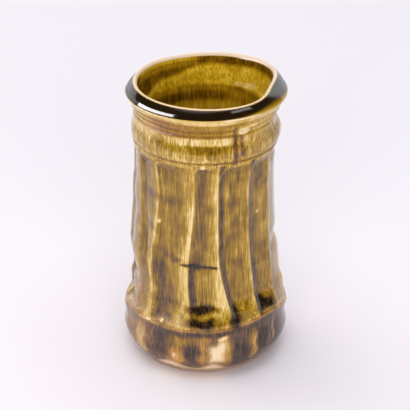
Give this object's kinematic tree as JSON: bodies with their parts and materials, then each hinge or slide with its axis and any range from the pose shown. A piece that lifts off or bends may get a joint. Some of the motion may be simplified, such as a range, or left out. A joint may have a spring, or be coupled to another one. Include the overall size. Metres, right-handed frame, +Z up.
{
  "type": "brush pot",
  "caption": "Fluted stoneware brush pot: a carved cylinder with a collar, a pinched mouth, a glazed well and a bare foot ring.",
  "frame": {"origin": "middle of the bounding box, on the plane that the foot ring stands on", "axes": "+Z up the pot's axis from foot to lip; -Y towards the front that the picture shows; +X to the right seen from the front"},
  "size_m": [0.0855, 0.0858, 0.1506],
  "materials": {
    "bare_clay": "unglazed, fine matt",
    "ash_glaze": "glossy, streaked amber and olive",
    "liner_glaze": "glossy, streaked olive"
  },
  "bodies": {
    "root": {"clay_body": "bare_clay", "outer_glaze": "ash_glaze", "inner_glaze": "liner_glaze"}
  },
  "joints": []
}
